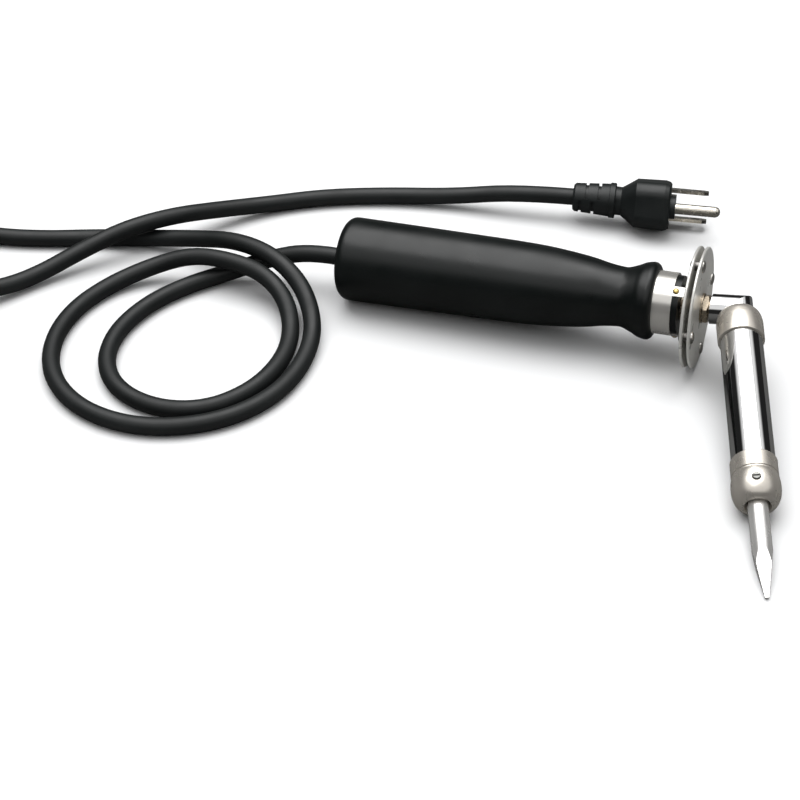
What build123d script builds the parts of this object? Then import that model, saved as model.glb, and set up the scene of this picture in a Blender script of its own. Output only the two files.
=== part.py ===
from build123d import *
import math
import os

# Angle-head soldering iron with its mains cord and plug. Millimetres, +Z up, resting on z = 0.
# The origin is under the middle of the iron itself. The handle points along +X, and the barrel
# leans forward from the end of the handle towards -Y, with its tip on the surface.

# ---- how the iron lies ----
REAR_X = -104.47         # middle of the handle's rear face, on plan
REAR_Y = 55.24
REAR_Z = 17.76
PITCH = 2.91             # degrees that the handle rises towards its front
ROLL = 11.45             # degrees that the barrel dips below level, about the handle's axis
LEAN = 15.4              # degrees that the barrel leans forward of square to the handle

# ---- handle, as stations along its axis from the rear face ----
HANDLE_REAR_R = 18.0
HANDLE_EDGE_R = 4.5      # rounding of the rear edge
HANDLE_MID_T = 76.0      # where the long straight taper ends
HANDLE_MID_R = 17.4
NECK_T = 121.8
NECK_R = 12.6
LIP_T = 134.4
LIP_R = 16.4
HANDLE_FRONT_T = 137.4
SPIGOT_T = 148.0         # end of the spigot that the ferrule sits on
SPIGOT_R = 12.35
BUSHING_BORE_T = 27.0
BUSHING_R = 6.6
CAVITY_R = 12.5
CAVITY_END_T = 98.0
SLIP = 0.05              # radial slip on seats and running fits

# ---- ferrule, baffles and stem ----
FERRULE_R = 13.3
FERRULE_WALL = 0.9
WINDOW_T = 145.4         # the ferrule's solid skirt ends here and its three legs go on
LEG_WIDTH = 4.4
LEG_ANGLES = (61.0, 181.0, 301.0)    # from -Y towards +Z, about the handle's axis
REAR_BAFFLE_T = 152.0
FRONT_BAFFLE_T = 155.2
BAFFLE_THICK = 1.2
BAFFLE_R = 25.5
RIVET_CIRCLE_R = 21.0
RIVET_R = 1.2
SPACER_R = 2.1
STEM_R = 4.0
STEM_BORE_R = 3.0
STEM_REAR_T = 89.0
STEM_FRONT_T = 166.5
WASHER_THICK = 0.8
JAM_NUT_T = 157.3
JAM_NUT_THICK = 2.4
ELBOW_T = 160.4          # rear face of the elbow's arm

# ---- head, measured down the barrel from where its axis crosses the handle's ----
BARREL_T = 171.8
CORNER_Z = -1.6
ARM_R = 6.3
PASSAGE_R = 2.9
CAP_TOP_Z = 0.8
CAP_R = 9.7
CAP_END_Z = 15.8
TUBE_R = 8.75
TUBE_WALL = 0.6
TUBE_START_Z = 9.6
TUBE_END_Z = 84.0
NOSE_START_Z = 79.0
NOSE_BAND_R = 9.45
NOSE_R = 9.9
NOSE_END_Z = 100.6
TIP_R = 4.1
TIP_ROOT_R = 3.9         # the part of the shank that is inside the head
TIP_REAR_Z = 42.0
TIP_FACET_Z = 121.0
TIP_END_Z = 143.6
SLEEVE_START_Z = 24.0
SLEEVE_R = 5.0
SCREW_Z = 93.0
SCREW_R = 1.75

# ---- cord and plug ----
CORD_R = 3.8
BUSHING_NOSE = 2.6       # how far the bushing stands out of the rear face
CORD_INNER_T = 40.0      # the jacket is stripped back from here
COIL_X = -302.5
COIL_Y = -0.8
COIL_OUT_R = 50.0
COIL_IN_R = 34.0
COIL_HEIGHT = 15.4
PLUG_X = 20.5            # middle of the plug's front face
PLUG_Y = 142.76
PLUG_Z = 11.75
PLUG_YAW = 8.0
PLUG_TILT = 26.6         # degrees above level that the ground pin faces, towards -Y
RELIEF_LENGTH = 19.0
PLUG_LENGTH = 24.6
BLADE_SPACING = 12.7
BLADE_OFFSET = -4.3
GROUND_OFFSET = 7.6
GROUND_R = 2.4
GROUND_ROOT_R = 2.1      # the part of the pin that is inside the plug
GROUND_LENGTH = 22.4
PLUG_BOSS_HEIGHT = 2.4

# Route of the cord's middle line. The first stretch runs from the handle through two loose
# loops to the coil, the second from the coil to the plug.
LEAD_OUT = [
    (-107.3, 55.8, 17.9), (-121.0, 55.8, 17.2), (-137.5, 54.3, 11.0), (-154.0, 47.2, 5.0),
    (-169.0, 34.5, 3.9), (-181.0, 16.5, 3.9), (-187.0, -5.0, 3.9), (-184.0, -26.5, 3.9),
    (-171.5, -42.2, 3.9), (-151.5, -48.4, 3.9), (-132.0, -42.8, 3.9), (-118.6, -26.5, 3.9),
    (-112.8, -6.0, 3.9), (-114.5, 14.0, 4.2), (-122.5, 30.5, 8.6), (-136.0, 40.0, 13.2),
    (-153.0, 42.5, 14.8), (-171.0, 43.5, 13.0), (-188.5, 37.5, 6.8), (-202.5, 23.0, 3.9),
    (-210.3, 3.0, 3.9), (-210.5, -19.5, 3.9), (-202.5, -40.0, 3.9), (-186.5, -55.0, 3.9),
    (-165.0, -61.5, 3.9), (-142.5, -58.3, 3.9), (-121.5, -45.6, 3.9), (-107.8, -25.5, 3.9),
    (-103.6, -1.5, 3.9), (-106.5, 20.5, 6.2), (-117.5, 37.0, 13.2), (-134.0, 47.5, 17.8),
    (-153.5, 54.0, 17.2), (-174.5, 59.8, 9.6), (-197.0, 60.6, 4.4), (-219.5, 55.0, 3.9),
    (-241.0, 47.2, 3.9), (-262.5, 42.2, 3.9), (-283.0, 42.0, 3.9), (-302.5, 45.4, 3.9),
]
LEAD_BACK = [
    (-265.0, -20.0, 11.5), (-256.0, -5.5, 9.0), (-244.0, 7.0, 5.4), (-233.5, 21.0, 5.0),
    (-221.0, 36.5, 8.8), (-205.7, 51.8, 13.6), (-188.7, 66.8, 14.2), (-173.7, 84.5, 8.6),
    (-156.0, 100.5, 4.4), (-134.0, 113.8, 3.9), (-107.0, 123.6, 3.9), (-77.0, 129.4, 5.6),
    (-48.6, 133.1, 11.4), (-22.65, 136.7, 11.75),
]

SURFACE_GAP = 0.02       # between seated cylinders of one body


# ---- small helpers ----
def turned_x(points):
    """Solid turned about X from a closed outline of (along, radius) points."""
    outline = Plane.XZ * make_face(Polyline(*points, close=True))
    return revolve(outline, Axis.X)


def turned_z(points):
    """Solid turned about Z from a closed outline of (radius, height) points."""
    outline = Plane.XZ * make_face(Polyline(*points, close=True))
    return revolve(outline, Axis.Z)


def rod_x(start, end, radius):
    """Round rod along X."""
    rod = Cylinder(radius, end - start, align=(Align.CENTER, Align.CENTER, Align.MIN))
    return Pos(start, 0, 0) * Rot(0, 90, 0) * rod


def tube_x(start, end, outer, inner):
    """Round tube along X."""
    return rod_x(start, end, outer) - rod_x(start - 1, end + 1, inner)


def hex_x(start, thick, across_flats, bore):
    """Hexagon nut along X with its corners bevelled at both faces."""
    blank = extrude(RegularPolygon(across_flats / 2, 6, major_radius=False), thick)
    nut = Pos(start, 0, 0) * Rot(0, 90, 0) * blank
    corner_r = across_flats / 2 / math.cos(math.pi / 6)
    bevel = corner_r - across_flats / 2
    guard = turned_x([
        (start, 0), (start, across_flats / 2), (start + bevel * 0.6, corner_r + 0.01),
        (start + thick - bevel * 0.6, corner_r + 0.01), (start + thick, across_flats / 2),
        (start + thick, 0),
    ])
    return (nut & guard) - rod_x(start - 1, start + thick + 1, bore)


def route_tube(points, radius):
    """Round tube along straight runs joined by tangent arcs as large as the runs allow."""
    corners = [Vector(*point) for point in points]
    radii = []
    for before, corner, after in zip(corners, corners[1:], corners[2:]):
        run_in = corner - before
        run_out = after - corner
        half_turn = math.radians(run_in.get_angle(run_out)) / 2
        shorter = min(run_in.length, run_out.length)
        radii.append(0.45 * shorter / math.tan(half_turn))
    path = FilletPolyline(*corners, radius=radii)
    start = Plane(origin=corners[0], z_dir=corners[1] - corners[0])
    tube = sweep(start * Circle(radius), path=path)
    print("arc radii", [round(value) for value in radii])
    print("length", round(path.length, 1), "volume ratio",
          round(tube.volume / (math.pi * radius ** 2 * path.length), 4))
    return tube


# ---- frames of the two assemblies ----
IRON = Pos(REAR_X, REAR_Y, REAR_Z) * Rot(0, -PITCH, 0)

level = Vector(0, -math.cos(math.radians(ROLL)), -math.sin(math.radians(ROLL)))
lean = math.radians(LEAN)
barrel_axis = Vector(math.sin(lean), 0, 0) + level * math.cos(lean)
barrel_front = Vector(math.cos(lean), 0, 0) - level * math.sin(lean)
HEAD = IRON * Location(Plane(origin=(BARREL_T, 0, 0), x_dir=barrel_front, z_dir=barrel_axis))


def handle_station(station):
    """Point of the handle's axis in the head's own frame."""
    reach = station - BARREL_T
    return Vector(reach * math.cos(lean), 0, reach * math.sin(lean))


# ---- handle group ----
def make_handle():
    """Moulded grip: rounded rear edge, slow taper, waist, flared lip and a front spigot."""
    edge = HANDLE_EDGE_R
    slant = edge * math.sqrt(0.5)
    rear_face = Line((0, 0), (0, HANDLE_REAR_R - edge))
    rear_edge = ThreePointArc(
        rear_face @ 1, (edge - slant, HANDLE_REAR_R - edge + slant), (edge, HANDLE_REAR_R))
    taper = Line(rear_edge @ 1, (HANDLE_MID_T, HANDLE_MID_R))
    waist = Spline(
        taper @ 1, (91.0, 16.75), (106.5, 15.1), (NECK_T, NECK_R), tangents=(taper % 1, (1, 0)))
    flare = Spline(waist @ 1, (128.6, 14.4), (LIP_T, LIP_R), tangents=((1, 0), (1, 0.05)))
    lip = ThreePointArc(flare @ 1, (HANDLE_FRONT_T - 0.5, LIP_R - 0.9), (HANDLE_FRONT_T, LIP_R - 2.8))
    spigot = Polyline(
        lip @ 1, (HANDLE_FRONT_T, SPIGOT_R), (SPIGOT_T, SPIGOT_R), (SPIGOT_T, 0), (0, 0))
    outline = Plane.XZ * make_face([rear_face, rear_edge, taper, waist, flare, lip, spigot])
    grip = revolve(outline, Axis.X)
    grip -= rod_x(-1, BUSHING_BORE_T, BUSHING_R)
    grip -= rod_x(BUSHING_BORE_T, CAVITY_END_T, CAVITY_R)
    grip -= rod_x(CAVITY_END_T - 1, SPIGOT_T + 1, STEM_R + SLIP)
    for angle in LEG_ANGLES:
        grip -= leg_hole(angle, 9.4, 1.0 + SURFACE_GAP)
    return grip


def make_bushing():
    """Rubber cord bushing: a short nose outside, a long taper inside the handle."""
    seat = BUSHING_R - SURFACE_GAP
    body = turned_x([
        (-BUSHING_NOSE, 0), (-BUSHING_NOSE, 4.9), (-0.02, 5.9), (-0.02, seat), (12.0, seat),
        (34.0, 4.9), (34.0, 0),
    ])
    return body - rod_x(-BUSHING_NOSE - 1, 35, CORD_R + SLIP)


def clamp_half(side):
    """One half of the cord clamp, above (+1) or below (-1) the jacket."""
    block = Pos(37.5, 0, side * 3.3) * Box(5.0, 19.0, 6.2)
    block -= rod_x(30, 45, CORD_R + SLIP)
    for y in (-6.6, 6.6):
        block -= Pos(37.5, y, 0) * Cylinder(1.32, 20)
    return block


def make_clamp_screws():
    """Two screws through both clamp halves, with round heads and plain shanks."""
    screws = []
    for y in (-6.6, 6.6):
        shank = Cylinder(1.3, 12.9, align=(Align.CENTER, Align.CENTER, Align.MIN))
        head = Cylinder(2.4, 1.6, align=(Align.CENTER, Align.CENTER, Align.MIN))
        screw = Pos(0, 0, -6.45) * shank + Pos(0, 0, 6.45) * head
        screw -= Pos(0, 0, 8.0) * Box(5.0, 0.7, 1.4)
        screws.append(Pos(37.5, y, 0) * screw)
    return Compound(children=screws)


def make_conductor(side_y, side_z, end_t, end_y, end_z):
    """Insulated conductor from the stripped jacket to its joint."""
    points = [
        (CORD_INNER_T + 0.3, side_y, side_z), (CORD_INNER_T + 9.0, side_y, side_z),
        (end_t - 10.0, end_y, end_z), (end_t, end_y, end_z),
    ]
    corners = [Vector(*point) for point in points]
    path = FilletPolyline(*corners, radius=12.0)
    start = Plane(origin=corners[0], z_dir=corners[1] - corners[0])
    return sweep(start * Circle(1.1), path=path)


def make_connectors():
    """Two crimped splices that join the cord's conductors to the heater's leads."""
    splices = []
    for side in (-1, 1):
        sleeve = turned_x([(72.3, 0), (72.3, 1.7), (74.0, 2.3), (85.0, 2.3), (88.0, 1.5), (88.0, 0)])
        splices.append(Pos(0, 0, side * 2.7) * sleeve)
    return Compound(children=splices)


def make_ground_lug():
    """Ring lug that earths the stem, clamped under the stem nut."""
    ring = tube_x(96.05, 96.85, 6.6, STEM_R + SURFACE_GAP)
    barrel = rod_x(84.0, 96.05, 1.5)
    tab = Box(0.8, 6.2, 3.0, align=(Align.CENTER, Align.MIN, Align.CENTER))
    return ring + Pos(0, 9.2, 0) * barrel + Pos(96.45, 4.5, 0) * tab


def leg_hole(angle, depth_r, radius):
    """Round peg from depth_r out past the ferrule, at one leg's angle."""
    length = FERRULE_R + 0.5 - depth_r
    peg = Cylinder(radius, length, align=(Align.CENTER, Align.CENTER, Align.MIN))
    return Pos(146.6, 0, 0) * Rot(90 - angle, 0, 0) * Pos(0, 0, depth_r) * peg


def make_ferrule():
    """Drawn cup over the spigot, with windows cut to leave three legs up to the baffle."""
    cup_end = REAR_BAFFLE_T - SURFACE_GAP
    inner = SPIGOT_R + SLIP
    cup = tube_x(HANDLE_FRONT_T + 0.05, cup_end, FERRULE_R, inner)
    legs = []
    for angle in LEG_ANGLES:
        bar = Pos(WINDOW_T - 2, 0, inner - 1) * Box(
            cup_end - WINDOW_T + 4, LEG_WIDTH, 4, align=(Align.MIN, Align.CENTER, Align.MIN))
        legs.append(Rot(90 - angle, 0, 0) * bar)
    window = tube_x(WINDOW_T, cup_end + 1, FERRULE_R + 1, inner - 1)
    for leg in legs:
        window -= leg
    ferrule = cup - window
    for angle in LEG_ANGLES:
        ferrule -= leg_hole(angle, 9.4, 1.0 + SURFACE_GAP)
    return ferrule


def make_ferrule_pins():
    """Three brass pins through the legs into the spigot, with low domed heads."""
    pins = []
    for angle in LEG_ANGLES:
        head = Sphere(1.7) & Pos(0, 0, 1.65) * Box(4, 4, 1.3)
        head = Pos(0, 0, FERRULE_R + SURFACE_GAP - 1.0) * head
        head = Pos(146.6, 0, 0) * Rot(90 - angle, 0, 0) * head
        pins.append(leg_hole(angle, 9.5, 1.0) + head)
    return Compound(children=pins)


def make_baffle(start):
    """Heat baffle: thin round plate with a stem hole and four rivet holes."""
    edge = 0.3
    plate = turned_x([
        (start, 0), (start, BAFFLE_R - edge), (start + edge, BAFFLE_R),
        (start + BAFFLE_THICK - edge, BAFFLE_R), (start + BAFFLE_THICK, BAFFLE_R - edge),
        (start + BAFFLE_THICK, 0),
    ])
    plate -= rod_x(start - 1, start + BAFFLE_THICK + 1, STEM_R + SURFACE_GAP)
    for place in rivet_places():
        plate -= place * rod_x(start - 1, start + BAFFLE_THICK + 1, RIVET_R + SURFACE_GAP)
    return plate


def rivet_places():
    """Places of the four rivets about the handle's axis."""
    return [Rot(quarter * 90, 0, 0) * Pos(0, 0, RIVET_CIRCLE_R) for quarter in range(4)]


def make_spacers():
    """Four tubes that hold the two baffles apart."""
    start = REAR_BAFFLE_T + BAFFLE_THICK
    spacer = tube_x(start, FRONT_BAFFLE_T, SPACER_R, RIVET_R + SURFACE_GAP)
    return Compound(children=[place * spacer for place in rivet_places()])


def make_rivets():
    """Four rivets with domed heads on the front baffle and set heads behind the rear one."""
    front = FRONT_BAFFLE_T + BAFFLE_THICK
    rivet = turned_x([
        (REAR_BAFFLE_T - 0.9, 0), (REAR_BAFFLE_T - 0.9, 1.5), (REAR_BAFFLE_T - 0.5, 2.1),
        (REAR_BAFFLE_T, 2.2), (REAR_BAFFLE_T, RIVET_R), (front, RIVET_R), (front, 2.6),
        (front + 0.7, 2.4), (front + 1.2, 1.7), (front + 1.45, 0.8), (front + 1.5, 0),
    ])
    return Compound(children=[place * rivet for place in rivet_places()])


def make_stem():
    """Threaded steel tube that carries the head and leads the wires through."""
    outer = turned_x([
        (STEM_REAR_T, 0), (STEM_REAR_T, STEM_R - 0.4), (STEM_REAR_T + 0.4, STEM_R),
        (STEM_FRONT_T - 0.4, STEM_R), (STEM_FRONT_T, STEM_R - 0.4), (STEM_FRONT_T, 0),
    ])
    return outer - rod_x(STEM_REAR_T - 1, STEM_FRONT_T + 1, STEM_BORE_R)


# ---- head group, in the head's own frame ----
def mitred_bend(start, end, radius):
    """Round bar from start to end with one sharp mitred corner under the arm's axis."""
    corner = Vector(0, 0, CORNER_Z)
    section = Plane(origin=start, z_dir=corner - start)
    path = Polyline(start, corner, end)
    return sweep(section * Circle(radius), path=path, transition=Transition.RIGHT)


def make_elbow():
    """Mitred elbow: its arm comes from the stem and its leg goes down into the barrel's cap."""
    end = Vector(0, 0, 9.4)
    body = mitred_bend(handle_station(ELBOW_T - 3), end, ARM_R)
    body -= mitred_bend(handle_station(STEM_FRONT_T - 2), end + Vector(0, 0, 1), PASSAGE_R)
    back = Location(Plane(origin=(0, 0, 0), x_dir=(0, 1, 0), z_dir=handle_station(BARREL_T + 1)))
    stem_bore = Cylinder(STEM_R + SLIP, 30, align=(Align.CENTER, Align.CENTER, Align.MAX))
    body -= back * Pos(0, 0, STEM_FRONT_T + 0.2 - BARREL_T) * stem_bore
    cut = Box(40, 40, 20, align=(Align.CENTER, Align.CENTER, Align.MAX))
    body -= back * Pos(0, 0, ELBOW_T - BARREL_T) * cut
    return body


def make_cap():
    """Turned cap with a domed shoulder, coped round the elbow and seated on the barrel tube."""
    bore = ARM_R + SURFACE_GAP
    seat = TUBE_R + SURFACE_GAP
    outline = [
        (bore, CAP_TOP_Z), (7.6, CAP_TOP_Z + 0.5), (8.7, CAP_TOP_Z + 1.7), (9.35, CAP_TOP_Z + 3.4),
        (CAP_R, CAP_TOP_Z + 5.8), (CAP_R, CAP_END_Z - 0.5), (CAP_R - 0.4, CAP_END_Z),
        (seat, CAP_END_Z), (seat, TUBE_START_Z - 0.1), (bore, TUBE_START_Z - 0.1),
    ]
    elbow_space = mitred_bend(handle_station(ELBOW_T - 3), Vector(0, 0, 9), bore)
    return turned_z(outline) - elbow_space


def make_barrel_tube():
    """Plain thin barrel tube around the heater."""
    inner = TUBE_R - TUBE_WALL
    return turned_z([
        (inner, TUBE_START_Z), (TUBE_R, TUBE_START_Z), (TUBE_R, TUBE_END_Z), (inner, TUBE_END_Z)])


def make_nose():
    """Nose collar: a plain band over the tube, a bead, and a rounded end that guides the tip."""
    seat = TUBE_R + SURFACE_GAP
    guide = TIP_R + SLIP
    outline = [
        (seat, NOSE_START_Z), (NOSE_BAND_R - 0.2, NOSE_START_Z), (NOSE_BAND_R, NOSE_START_Z + 0.3),
        (NOSE_BAND_R, 86.2), (NOSE_BAND_R - 0.35, 86.8), (NOSE_BAND_R, 87.4), (9.75, 89.0),
        (NOSE_R, 91.0), (NOSE_R, 93.0), (9.6, 95.4), (8.9, 97.6), (7.8, 99.3), (6.5, 100.3),
        (5.4, NOSE_END_Z), (guide + 0.2, 98.6), (guide, 98.0), (guide, TUBE_END_Z + 0.1),
        (seat, TUBE_END_Z + 0.1),
    ]
    nose = turned_z(outline)
    screw_hole = Cylinder(SCREW_R + SLIP, 12, align=(Align.CENTER, Align.CENTER, Align.MIN))
    return nose - Pos(0, 0, SCREW_Z) * Rot(-90, 0, 0) * screw_hole


def make_set_screw():
    """Slotted set screw that bears on the tip's shank through the nose."""
    reach = TIP_ROOT_R + 0.03
    top = NOSE_R + 0.55
    screw = turned_z([
        (0, reach), (1.0, reach), (SCREW_R, reach + 0.8), (SCREW_R, top - 0.35),
        (SCREW_R - 0.35, top), (0, top),
    ])
    screw -= Pos(0, 0, top) * Box(5, 0.75, 1.8)
    return Pos(0, 0, SCREW_Z) * Rot(-90, 0, 0) * screw


def make_tip():
    """Plug tip: a shank with a slimmer root, then four flats tapering to a narrow point."""
    root_end = NOSE_END_Z + 0.05
    shank = turned_z([
        (0, TIP_REAR_Z), (TIP_ROOT_R - 0.5, TIP_REAR_Z), (TIP_ROOT_R, TIP_REAR_Z + 0.5),
        (TIP_ROOT_R, root_end), (TIP_R, root_end), (TIP_R, TIP_END_Z), (0, TIP_END_Z),
    ])
    half = TIP_R * 1.02
    bottom = Pos(0, 0, TIP_FACET_Z) * Rectangle(2 * half, 2 * half)
    top = Pos(0, 0, TIP_END_Z) * Rectangle(1.5, 0.9)
    taper = loft([bottom, top])
    column = Pos(0, 0, TIP_REAR_Z - 1) * Cylinder(
        TIP_R + 1, TIP_FACET_Z - TIP_REAR_Z + 1, align=(Align.CENTER, Align.CENTER, Align.MIN))
    return shank & (taper + column)


def make_heater_sleeve():
    """Steel sleeve that holds the tip's shank and carries the winding."""
    return turned_z([
        (TIP_R + 0.06, SLEEVE_START_Z), (SLEEVE_R, SLEEVE_START_Z), (SLEEVE_R, TUBE_END_Z),
        (TIP_R + 0.06, TUBE_END_Z),
    ])


def make_mica_wrap():
    """Mica insulation between the sleeve and the winding."""
    return turned_z([(5.05, 26.0), (5.3, 26.0), (5.3, 82.5), (5.05, 82.5)])


def make_winding():
    """Resistance wire wound around the mica."""
    helix = Helix(pitch=3.4, height=51.0, radius=5.75)
    start = Plane(origin=helix @ 0, z_dir=helix % 0)
    coil = sweep(start * Circle(0.35), path=helix, is_frenet=True)
    return Pos(0, 0, 29.0) * coil


def make_outer_insulator():
    """Ceramic sleeve between the winding and the barrel tube."""
    return turned_z([(6.3, 24.2), (7.9, 24.2), (7.9, 83.5), (6.3, 83.5)])


def make_rear_insulator():
    """Ceramic bead that closes the heater's rear end and guides its two leads."""
    bead = turned_z([(0, 18.4), (6.6, 18.4), (7.9, 19.6), (7.9, 23.9), (0, 23.9)])
    for side in (-1, 1):
        bead -= Pos(0, side * 1.2, 21) * Cylinder(0.9, 10)
    return bead


def make_heater_leads():
    """Two sleeved leads from the heater through the elbow and the stem into the handle."""
    leads = []
    for side in (-1, 1):
        points = [
            Vector(0, 0, 23.6), Vector(0, 0, CORNER_Z), handle_station(ELBOW_T - 1),
            handle_station(STEM_REAR_T - 0.6),
        ]
        path = FilletPolyline(*points, radius=[4.0, 30.0])
        start = Plane(origin=points[0], z_dir=points[1] - points[0])
        leads.append(Pos(0, side * 1.2, 0) * sweep(start * Circle(0.8), path=path))
    return Compound(children=leads)


# ---- cord group ----
def make_cord_coil():
    """Outer shape of the put-away coil."""
    ring = Cylinder(COIL_OUT_R, COIL_HEIGHT, align=(Align.CENTER, Align.CENTER, Align.MIN))
    ring -= Cylinder(COIL_IN_R, COIL_HEIGHT * 3)
    return Pos(COIL_X, COIL_Y, 0) * fillet(ring.edges(), 2.5)


plug_axis = Vector(1, 0, 0).rotate(Axis.Z, PLUG_YAW)
plug_side = Vector(0, -1, 0).rotate(Axis.Z, PLUG_YAW)
tilt = math.radians(PLUG_TILT)
ground_side = plug_side * math.cos(tilt) + Vector(0, 0, math.sin(tilt))
PLUG = Location(Plane(origin=(PLUG_X, PLUG_Y, PLUG_Z), x_dir=plug_axis, z_dir=ground_side))


def make_plug_body():
    """Moulded plug: a narrow neck, a wider head with rounded corners, and a raised face boss."""
    rear = -PLUG_LENGTH
    stations = [
        (rear, 6.3, -6.3, 6.3, 5.2), (rear + 2.6, 6.2, -6.4, 6.6, 5.2),
        (rear + 5.0, 7.6, -7.6, 8.4, 5.4), (rear + 9.2, 10.4, -9.3, 11.2, 6.2),
        (-2.6, 10.7, -9.6, 12.2, 6.2), (-0.8, 10.2, -9.1, 11.8, 5.8), (0, 9.4, -8.4, 11.1, 5.2),
    ]
    sections = []
    for station, half_width, low, high, corner_r in stations:
        outline = RectangleRounded(2 * half_width, high - low, corner_r)
        place = Plane(origin=(station, 0, (low + high) / 2), x_dir=(0, 1, 0), z_dir=(1, 0, 0))
        sections.append(place * outline)
    body = loft(sections, ruled=True)
    face = Plane(origin=(-0.5, 0, 2.4), x_dir=(0, 0, 1), z_dir=(1, 0, 0))
    body += extrude(face * SlotCenterToCenter(6.0, 10.2), PLUG_BOSS_HEIGHT + 0.5)
    for side_y in (-1, 1):
        slot = Pos(-11.5, side_y * BLADE_SPACING / 2, BLADE_OFFSET) * Box(
            20, 1.56, 6.36, align=(Align.MIN, Align.CENTER, Align.CENTER))
        body -= slot
    body -= Pos(0, 0, GROUND_OFFSET) * rod_x(-11.5, 4, GROUND_ROOT_R + SURFACE_GAP)
    return body


def make_relief():
    """Ribbed strain relief: slots from two sides, staggered so that it bends."""
    end = -PLUG_LENGTH - 0.02
    start = -PLUG_LENGTH - RELIEF_LENGTH
    sleeve = turned_x([
        (start, 0), (start, 5.6), (start + 0.9, 6.4), (end - 2.7, 7.4), (end - 2.5, 7.9),
        (end - 0.3, 7.9), (end, 7.6), (end, 0),
    ])
    sleeve -= rod_x(start - 1, end - 1.5, CORD_R + SLIP)
    for number in range(4):
        slot_x = start + 3.2 + number * 2.85
        slot_side = 1 if number % 2 else -1
        slot = Pos(slot_x, slot_side * 5.3, 0) * Box(1.4, 9.8, 20)
        core = rod_x(slot_x - 1, slot_x + 1, CORD_R + 2.0)
        sleeve -= slot - core
    return sleeve


def make_blades():
    """Two flat blades with tapered ends and a small round hole each."""
    blades = []
    for side_y in (-1, 1):
        outline = Polyline(
            (-11.5, -3.15), (14.6, -3.15), (16.6, -1.9), (16.6, 1.9), (14.6, 3.15),
            (-11.5, 3.15), close=True)
        blade = Plane.XZ * extrude(make_face(outline), 0.76, both=True)
        blade -= Pos(12.0, 0, 0) * Rot(90, 0, 0) * Cylinder(1.55, 10)
        blades.append(Pos(0, side_y * BLADE_SPACING / 2, BLADE_OFFSET) * blade)
    return Compound(children=blades)


def make_ground_pin():
    """Round ground pin with a slimmer root and a bullet end that outreaches the blades."""
    length = GROUND_LENGTH
    root_end = PLUG_BOSS_HEIGHT + 0.05
    pin = turned_x([
        (-11.5, 0), (-11.5, GROUND_ROOT_R), (root_end, GROUND_ROOT_R), (root_end, GROUND_R),
        (length - 2.0, GROUND_R), (length - 0.9, 1.95), (length - 0.25, 1.15), (length, 0),
    ])
    return Pos(0, 0, GROUND_OFFSET) * pin


# ---- every node, in place ----
NODES = {
    "handle": IRON * make_handle(),
    "cord_bushing": IRON * make_bushing(),
    "cord_inner_end": IRON * rod_x(-BUSHING_NOSE, CORD_INNER_T, CORD_R),
    "cord_clamp_upper": IRON * clamp_half(1),
    "cord_clamp_lower": IRON * clamp_half(-1),
    "cord_clamp_screws": IRON * make_clamp_screws(),
    "live_conductor": IRON * make_conductor(0, 1.9, 72.0, 0, 2.7),
    "neutral_conductor": IRON * make_conductor(0, -1.9, 72.0, 0, -2.7),
    "ground_conductor": IRON * make_conductor(2.3, 0, 83.7, 9.2, 0),
    "crimp_connectors": IRON * make_connectors(),
    "ground_lug": IRON * make_ground_lug(),
    "stem_nut": IRON * hex_x(91.6, 4.4, 13.0, STEM_R + SURFACE_GAP),
    "stem_washer": IRON * tube_x(96.9, CAVITY_END_T - 0.02, 8.0, STEM_R + SURFACE_GAP),
    "stem_tube": IRON * make_stem(),
    "ferrule": IRON * make_ferrule(),
    "ferrule_pins": IRON * make_ferrule_pins(),
    "baffle_nut": IRON * hex_x(148.3, 3.6, 13.0, STEM_R + SURFACE_GAP),
    "rear_baffle": IRON * make_baffle(REAR_BAFFLE_T),
    "front_baffle": IRON * make_baffle(FRONT_BAFFLE_T),
    "baffle_spacers": IRON * make_spacers(),
    "baffle_rivets": IRON * make_rivets(),
    "lock_washer": IRON * tube_x(156.45, 157.2, 6.3, STEM_R + SURFACE_GAP),
    "jam_nut": IRON * hex_x(JAM_NUT_T, JAM_NUT_THICK, 11.0, STEM_R + SLIP),
    "elbow": HEAD * make_elbow(),
    "barrel_cap": HEAD * make_cap(),
    "barrel_tube": HEAD * make_barrel_tube(),
    "nose_collar": HEAD * make_nose(),
    "set_screw": HEAD * make_set_screw(),
    "soldering_tip": HEAD * make_tip(),
    "heater_sleeve": HEAD * make_heater_sleeve(),
    "mica_wrap": HEAD * make_mica_wrap(),
    "heater_winding": HEAD * make_winding(),
    "outer_insulator": HEAD * make_outer_insulator(),
    "rear_insulator": HEAD * make_rear_insulator(),
    "heater_leads": HEAD * make_heater_leads(),
    "cord_lead_out": route_tube(LEAD_OUT, CORD_R),
    "cord_coil": make_cord_coil(),
    "cord_lead_back": route_tube(LEAD_BACK, CORD_R),
    "cord_plug_end": PLUG * rod_x(-PLUG_LENGTH - RELIEF_LENGTH, -PLUG_LENGTH - 1.6, CORD_R),
    "plug_relief": PLUG * make_relief(),
    "plug_body": PLUG * make_plug_body(),
    "plug_blades": PLUG * make_blades(),
    "ground_pin": PLUG * make_ground_pin(),
}

os.makedirs("parts", exist_ok=True)
for name, solid in NODES.items():
    export_step(solid, "parts/" + name + ".step")

CORD_NODES = (
    "cord_lead_out", "cord_coil", "cord_lead_back", "cord_plug_end", "plug_relief", "plug_body",
    "plug_blades", "ground_pin",
)
own_pieces = [solid for name, solid in NODES.items() if name not in CORD_NODES]
own_box = Compound(children=own_pieces).bounding_box()
print("iron from", own_box.min, "to", own_box.max, "middle", own_box.center())
print("plug lowest", round(NODES["plug_body"].bounding_box().min.Z, 3))
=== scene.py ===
"""Looks of an angled soldering iron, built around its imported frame. Lengths are in metres."""

import logging
import math
from dataclasses import dataclass, field
from enum import Enum

import bmesh
import bpy
from mathutils import Matrix, Vector


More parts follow.
